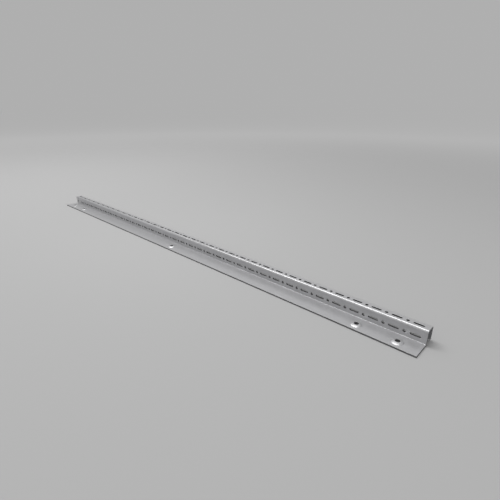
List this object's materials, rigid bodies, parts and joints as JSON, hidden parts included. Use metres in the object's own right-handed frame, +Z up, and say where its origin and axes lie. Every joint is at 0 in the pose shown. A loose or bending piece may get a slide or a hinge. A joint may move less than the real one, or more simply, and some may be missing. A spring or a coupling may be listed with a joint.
{
  "type": "mounting rail",
  "caption": "Long bent steel mounting rail with a flat base flange, rows of slots and round holes, and dimpled screw holes.",
  "frame": {"origin": "middle of the rail's length and depth, at the underside of the base flange", "axes": "+X along the rail, +Y from the base flange's free edge to the back flange, +Z up from the base flange"},
  "size_m": [0.9, 0.042, 0.0194],
  "materials": {
    "mounting_rail": "zinc-plated, semi-gloss"
  },
  "bodies": {
    "root": {"mounting_rail": "mounting_rail"}
  },
  "joints": []
}
